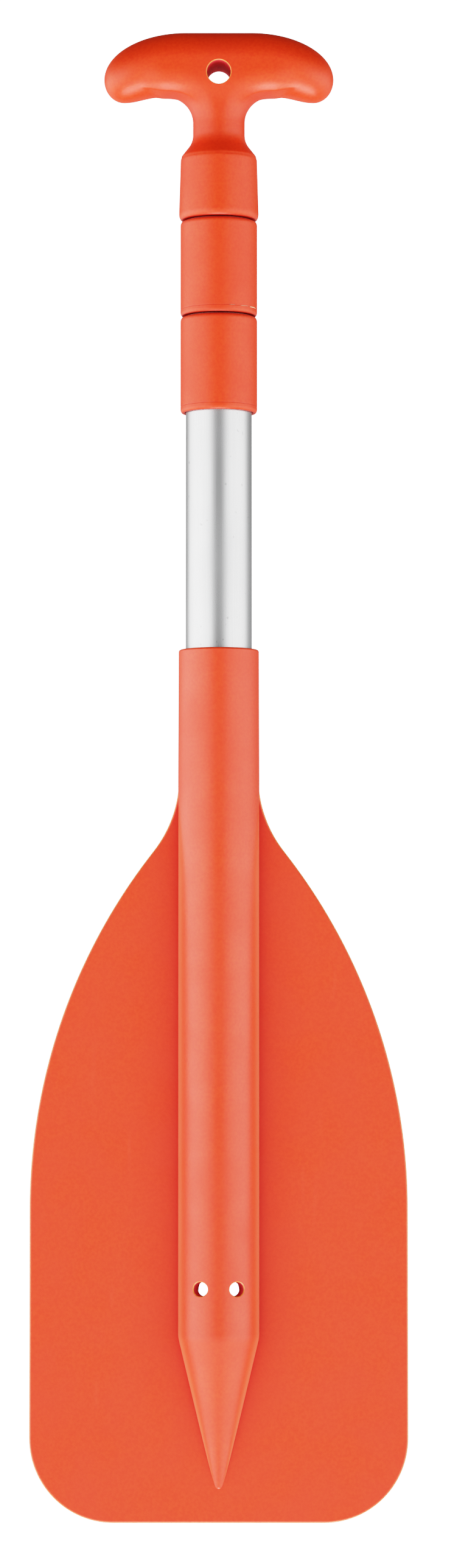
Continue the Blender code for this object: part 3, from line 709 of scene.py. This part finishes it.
def make_rivet(node, body, height, outside, inside):
    """A blind rivet at the back: domed head with its broken mandrel, shank, and the bulb inside."""
    floor = outside - RIVET_SEAT + SLIDE_GAP
    bulb = inside - SLIDE_GAP
    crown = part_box(node)[1].y
    face = [(radius, crown - down) for radius, down in MANDREL_FACE]
    dome = [(MANDREL_EDGE + (RIVET_HEAD - MANDREL_EDGE) * math.sin(math.radians(a)),
             floor + (crown - floor) * (0.25 + 0.7 * math.cos(math.radians(a))))
            for a in range(15, 91, 15)]
    shank = [(RIVET_HEAD, floor), (RIVET_SHANK, floor), (RIVET_SHANK, bulb)]
    swelling = arc((RIVET_SHANK - 0.0003, bulb - BULB[1]), BULB[0], 60, -60, 8)
    rivet = turned("set_" + node, face + dome + shank + swelling + [(0, bulb - BULB[2])],
                   (RIVET_METAL,), 64)
    rivet.data.transform(Matrix.Translation((0, 0, height)) @ Matrix.Rotation(math.radians(-90), 4, "X"))
    handed_over(rivet, node, body)


# Handle


def grip_top(x):
    """Height of the arms' upper side: level in the middle, then an elliptical fall to the tips."""
    across = np.clip(np.abs(x) - GRIP_FLAT, 0, None) / (GRIP_HALF_WIDTH - GRIP_FLAT)
    return GRIP_WAIST + (GRIP_TOP - GRIP_WAIST) * np.sqrt(np.clip(1 - across ** 2, 0, None))


def grip_bottom(x):
    """Level beside the stem, then a little lower, then round the tip of the arm."""
    beyond = np.clip((np.abs(x) - TIP_START) / (GRIP_HALF_WIDTH - TIP_START), 0, 1)
    share = np.clip((np.abs(x) - UNDERSIDE_END) / (TIP_START - UNDERSIDE_END), 0, 1)
    level = GRIP_UNDERSIDE + (TIP_UNDERSIDE - GRIP_UNDERSIDE) * (1 - np.cos(math.pi * share)) / 2
    return GRIP_WAIST - (GRIP_WAIST - level) * np.sqrt(1 - beyond ** 2)


def grip_depth(x):
    """Half-depth of the arms, nearly even up to their round tips."""
    return GRIP_HALF_DEPTH * np.sqrt(1 - np.clip(np.abs(x) / GRIP_HALF_WIDTH, 0, 1) ** 6)


def flare(z):
    """Radius of the neck's flare down to the skirt."""
    drop = np.clip(NECK_BOTTOM - z, 0, None)
    slope = math.radians(NECK_SLOPE)
    arc_drop = NECK_FLARE_RADIUS * math.sin(slope)
    curved = np.minimum(drop, arc_drop)
    radius = NECK_RADIUS + NECK_FLARE_RADIUS - np.sqrt(NECK_FLARE_RADIUS ** 2 - curved ** 2)
    return radius + np.clip(drop - arc_drop, 0, None) * math.tan(slope)


def fillet(z):
    """Half-width of the stem where it widens into the arms."""
    rise = np.clip(z - NECK_TOP, 0, 0.97 * GRIP_FILLET_RADIUS)
    return NECK_RADIUS + GRIP_FILLET_RADIUS - np.sqrt(GRIP_FILLET_RADIUS ** 2 - rise ** 2)


def stem_depth(z):
    """Half-depth of the stem."""
    share = np.clip((z - NECK_TOP) / GRIP_FILLET_RADIUS, 0, 1)
    return NECK_RADIUS + (STEM_DEPTH - NECK_RADIUS) * share


def skirt_profile():
    """(radius, z) from the middle of the bottom out, up the skirt and the flare to the neck."""
    inward, upward = SKIRT_FOOT
    foot = arc((SKIRT_RADIUS - inward, SKIRT_BOTTOM + upward), inward, -90, 0, 24,
               stretch=upward / inward)
    rounding, drop = SKIRT_TOP_EDGE
    edge = arc((SKIRT_TOP_RADIUS - rounding, SKIRT_TOP - drop), rounding, 5, 48, 6)
    up = [(float(flare(z)), z) for z in np.linspace(FLARE_START, NECK_BOTTOM, 40)]
    return [(0.0, SKIRT_BOTTOM)] + foot + edge + up + [(NECK_RADIUS, NECK_LOFT_TOP)]


def sampled(profile, spacing=0.00005):
    """Points close together along a profile."""
    points = np.array(profile)
    steps = np.linalg.norm(np.diff(points, axis=0), axis=1)
    along = np.concatenate([[0], np.cumsum(steps)])
    wanted = np.arange(0, along[-1], spacing)
    return np.stack([np.interp(wanted, along, points[:, k]) for k in (0, 1)], axis=1)


def grip_value(points):
    """Negative inside the grip: the arms and the stem, melted together away from the outline."""
    x, y, z = points.T
    reach = np.minimum(np.abs(x), ARM_REACH * GRIP_HALF_WIDTH)
    low, high, depth = grip_bottom(reach), grip_top(reach), grip_depth(reach)
    half = (high - low) / 2
    arms = (np.hypot((z - (low + high) / 2) / half, y / depth) - 1) * np.minimum(half, depth)
    centre = NECK_RADIUS + GRIP_FILLET_RADIUS
    beside = np.clip(np.abs(x) - centre, None, 0)
    inward = np.hypot(beside, np.clip(z - NECK_TOP, 0, None)) - GRIP_FILLET_RADIUS
    across = np.clip(1 - inward / NECK_RADIUS, 0, None)
    stem = (np.hypot(across, y / stem_depth(z)) - 1) * NECK_RADIUS
    stem += STEM_FADE * (np.clip(z - GRIP_UNDERSIDE - STEM_FADE_RISE, 0, None) ** 2
                         + np.clip(np.abs(x) - centre, 0, None) ** 2)
    melt = MELT_OUTLINE + MELT_FACE * np.clip(np.abs(y) / MELT_DEPTH, 0, 1) ** 2
    near = np.clip(melt - np.abs(arms - stem), 0, None) / melt
    return np.minimum(arms, stem) - near ** 2 * melt / 4


def onto_grip(points, share):
    """Six Newton steps onto the grip's surface, each cut to 0.4 mm and scaled by the point's share."""
    small = 0.00001
    for _ in range(6):
        value = grip_value(points)
        slope = np.stack([(grip_value(points + small * axis) - grip_value(points - small * axis))
                          / (2 * small) for axis in np.eye(3)], axis=1)
        step = value[:, None] * slope / np.clip((slope ** 2).sum(1), 0.05, None)[:, None]
        length = np.linalg.norm(step, axis=1, keepdims=True)
        step *= np.minimum(1, 0.0004 / np.maximum(length, 1e-12))
        points = points - share[:, None] * step
    return points


def onto_skirt(points):
    """The nearest points on the turned part of the handle."""
    line = sampled(skirt_profile())
    radius = np.hypot(points[:, 0], points[:, 1])
    flat = np.stack([radius, points[:, 2]], axis=1)
    nearest = np.concatenate([((part[:, None, :] - line[None]) ** 2).sum(2).argmin(1)
                              for part in np.array_split(flat, 60)])
    turn = np.arctan2(points[:, 1], points[:, 0])
    found = line[nearest]
    return np.stack([found[:, 0] * np.cos(turn), found[:, 0] * np.sin(turn), found[:, 1]], axis=1)


def handle_body():
    """The outer form: lofts for the arms and the stem, remeshed as one skin drawn onto the surface."""
    turns = np.radians(np.linspace(-88.5, 88.5, 60))
    rings = []
    for x in GRIP_HALF_WIDTH * np.sin(turns):
        low, high, depth = float(grip_bottom(x)), float(grip_top(x)), float(grip_depth(x))
        outline = arc((0, (low + high) / 2), depth, 0, 354, 59, stretch=(high - low) / 2 / depth)
        rings.append([(x, y, z) for y, z in outline])
    body = lofted("moulded_handle", rings, SATIN_PLASTICS)
    stem_rings = [circle(radius, z, STEM_STEPS) for radius, z in skirt_profile()[1:]]
    for z in np.linspace(*STEM_LOFT, 24):
        width, depth = float(fillet(z)), float(stem_depth(z))
        stem_rings.append([(x, y * depth / width, z) for x, y, z in circle(width, z, STEM_STEPS)])
    stem = lofted("handle_stem", stem_rings, SATIN_PLASTICS)
    shape = bmesh.new()
    shape.from_mesh(body.data)
    shape.from_mesh(stem.data)
    bpy.data.objects.remove(stem)
    shape.to_mesh(body.data)
    shape.free()
    skin = body.modifiers.new("skin", "REMESH")
    skin.mode = "VOXEL"
    skin.voxel_size = GRIP_VOXEL
    applied(body)
    mesh = body.data
    points = np.zeros(len(mesh.vertices) * 3)
    mesh.vertices.foreach_get("co", points)
    points = points.reshape(-1, 3)
    upper = points[:, 2] > GRIP_START
    reach = np.abs(points[upper, 0]) / GRIP_HALF_WIDTH
    points[upper] = onto_grip(points[upper], np.clip((ARM_REACH - reach) / ARM_EASE, 0, 1))
    points[~upper] = onto_skirt(points[~upper])
    mesh.vertices.foreach_set("co", points.ravel())
    mesh.update()
    settle = body.modifiers.new("settle", "SMOOTH")
    settle.factor, settle.iterations = 0.5, 2
    return applied(body)


def socket_profile():
    """The skirt's inside, from its floor down to a funnel that goes on below the skirt."""
    tube = half_width("inner_tube")
    wider, start, below = SOCKET_MOUTH
    return [(0, SOCKET_FLOOR), (tube + SLIDE_GAP, SOCKET_FLOOR), (tube + SLIDE_GAP, SKIRT_BOTTOM + start),
            (tube + wider, SKIRT_BOTTOM - below), (0, SKIRT_BOTTOM - below)]


def make_handle():
    handle = handle_body()
    smooth(handle)
    skin = BVHTree.FromObject(handle, bpy.context.evaluated_depsgraph_get())
    cutters = [turned("handle_socket", socket_profile(), PLASTICS)]
    for side, outward in (("front", Vector((0, -1, 0))), ("back", Vector((0, 1, 0)))):

        def grip_face(point, outward=outward):
            hit = skin.ray_cast(point + 0.05 * outward, -outward)[0]
            return hit.dot(outward)

        cutters.append(rim_cutter("lanyard_" + side, (0, 0, LANYARD_HEIGHT), outward,
                                  (LANYARD_RADIUS, LANYARD_RADIUS), grip_face, LANYARD_CUT))
    cutters += rivet_holes("handle", HANDLE_RIVET_HEIGHT, SKIRT_AT_RIVET)
    combined(handle, "DIFFERENCE", cutters)
    handed_over(handle, "handle", "handle_section")


# Pieces inside, which keep their CAD shape


def finish_inside():
    finishes = {"guide_ring": NYLON, "cam_ring": NYLON, "cam_plug": BLACK, "cam_washer": STEEL,
                "cam_screw": STEEL, "plug_pin": STEEL}
    for name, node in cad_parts.items():
        for ending, finish in finishes.items():
            if name.endswith(ending):
                for place in node.material_slots:
                    place.material = finish


# Studio


def make_floor():
    """A white floor that only the camera sees, and only from above, so it takes and gives no light."""
    made, tree = new_material("white_floor")
    white = add(tree, "Emission", {"Color": (1, 1, 1, 1), "Strength": BACKDROP})
    clear = add(tree, "BsdfTransparent")
    under = add(tree, "NewGeometry").outputs["Backfacing"]
    surface = add(tree, "MixShader", {0: under, 1: white.outputs[0], 2: clear.outputs[0]})
    add(tree, "OutputMaterial", {"Surface": surface.outputs[0]})
    shape = bmesh.new()
    bmesh.ops.create_circle(shape, cap_ends=True, segments=96, radius=FLOOR_RADIUS)
    floor = built("studio_floor", shape, (made,))
    floor.location.z = BLADE_LOW.z - FLOOR_DROP
    for kind in ("diffuse", "glossy", "transmission", "shadow", "volume_scatter"):
        setattr(floor, "visible_" + kind, False)


def light_ramp(tree, value, stops):
    """A share of the light from (place, share) stops along a value from 0 to 1."""
    ramp = add(tree, "ValToRGB", {0: value})
    elements = ramp.color_ramp.elements
    while len(elements) < len(stops):
        elements.new(0.5)
    for element, (place, share) in zip(elements, stops):
        element.position = place
        element.color = (share, share, share, 1)
    return ramp.outputs[0]


def make_world():
    """Soft light from broad panels at both sides, level or a little below, and a lamp below in front.

    Little else comes from above, below, behind or the camera's side. The panels have most contrast a
    little above the horizon, and give way to an even level straight up and down. The camera itself
    sees white.
    """
    world = bpy.data.worlds.new("studio")
    world.use_nodes = True
    tree = world.node_tree
    tree.nodes.clear()
    way = add(tree, "TexCoord").outputs["Generated"]
    x, y, z = add(tree, "SeparateXYZ", {0: way}).outputs
    azimuth = maths(tree, absolute(tree, x), maths(tree, y, -1.0, "MULTIPLY"), "ARCTAN2")
    azimuth = maths(tree, azimuth, ranged(tree, x, -1, 1, 1 - SKEW, 1 + SKEW), "MULTIPLY")
    around = light_ramp(tree, ranged(tree, azimuth, 0, math.pi), PANELS)
    contrast = maths(tree, light_ramp(tree, ranged(tree, z, -1, 1), CONTRAST), 2.0, "MULTIPLY")
    around = maths(tree, around, contrast, "POWER")
    level = mixed(tree, eased(tree, absolute(tree, z), *EVEN_RANGE), around, EVEN_LEVEL)
    level = maths(tree, level, light_ramp(tree, ranged(tree, z, -1, 1), HEIGHTS), "MULTIPLY")
    level = maths(tree, level, ranged(tree, x, -1, 1, 1 + SIDE_TILT, 1 - SIDE_TILT), "MULTIPLY")
    aim = add(tree, "VectorMath", {0: way, 1: LOW_LAMP}, operation="DOT_PRODUCT").outputs["Value"]
    level = maths(tree, level, eased(tree, aim, *LOW_LAMP_EDGE, 0.0, LOW_LAMP_POWER))
    seen = add(tree, "LightPath").outputs["Is Camera Ray"]
    strength = maths(tree, level, LIGHT, "MULTIPLY")
    lit = add(tree, "Background", {"Color": LIGHT_COLOUR, "Strength": strength})
    white = add(tree, "Background", {"Color": (1, 1, 1, 1), "Strength": BACKDROP})
    surface = add(tree, "MixShader", {0: seen, 1: lit.outputs[0], 2: white.outputs[0]})
    add(tree, "OutputWorld", {"Surface": surface.outputs[0]})
    bpy.context.scene.world = world


def make_camera():
    camera = bpy.data.objects.new("camera", bpy.data.cameras.new("camera"))
    camera.data.lens = CAMERA_LENS
    camera.data.sensor_width = CAMERA_SENSOR
    camera.location = CAMERA_PLACE
    camera.rotation_euler = (math.radians(90 + CAMERA_TILT), 0, 0)
    bpy.context.scene.collection.objects.link(camera)
    bpy.context.scene.camera = camera


def set_tone():
    """A photographic tone curve: a short toe, and a shoulder up to the white of the background."""
    settings = bpy.context.scene.view_settings
    settings.view_transform = "Standard"
    settings.use_curve_mapping = True
    mapping = settings.curve_mapping
    mapping.white_level = (WHITE, WHITE, WHITE)
    every_channel = mapping.curves[3]
    for light, shown in TONE:
        every_channel.points.new(light / WHITE, shown)
    mapping.update()


make_camera()
make_world()
make_floor()
set_tone()

make_blade()
make_handle()
make_tube("outer_tube", "blade_section", "blade_rivet")
make_tube("middle_tube", "middle_section", "middle_plug_pin")
make_tube("inner_tube", "handle_section", "inner_plug_pin", "handle_rivet")
make_collar("lower_collar", "blade_section", "outer_tube", "middle_tube")
make_collar("upper_collar", "middle_section", "middle_tube", "inner_tube", flash=True)
make_rivet("blade_rivet", "blade_section", BLADE_RIVET_HEIGHT, BOSS_RADIUS,
           half_width("outer_tube") - TUBE_WALL)
make_rivet("handle_rivet", "handle_section", HANDLE_RIVET_HEIGHT, SKIRT_AT_RIVET,
           half_width("inner_tube") - TUBE_WALL)
finish_inside()
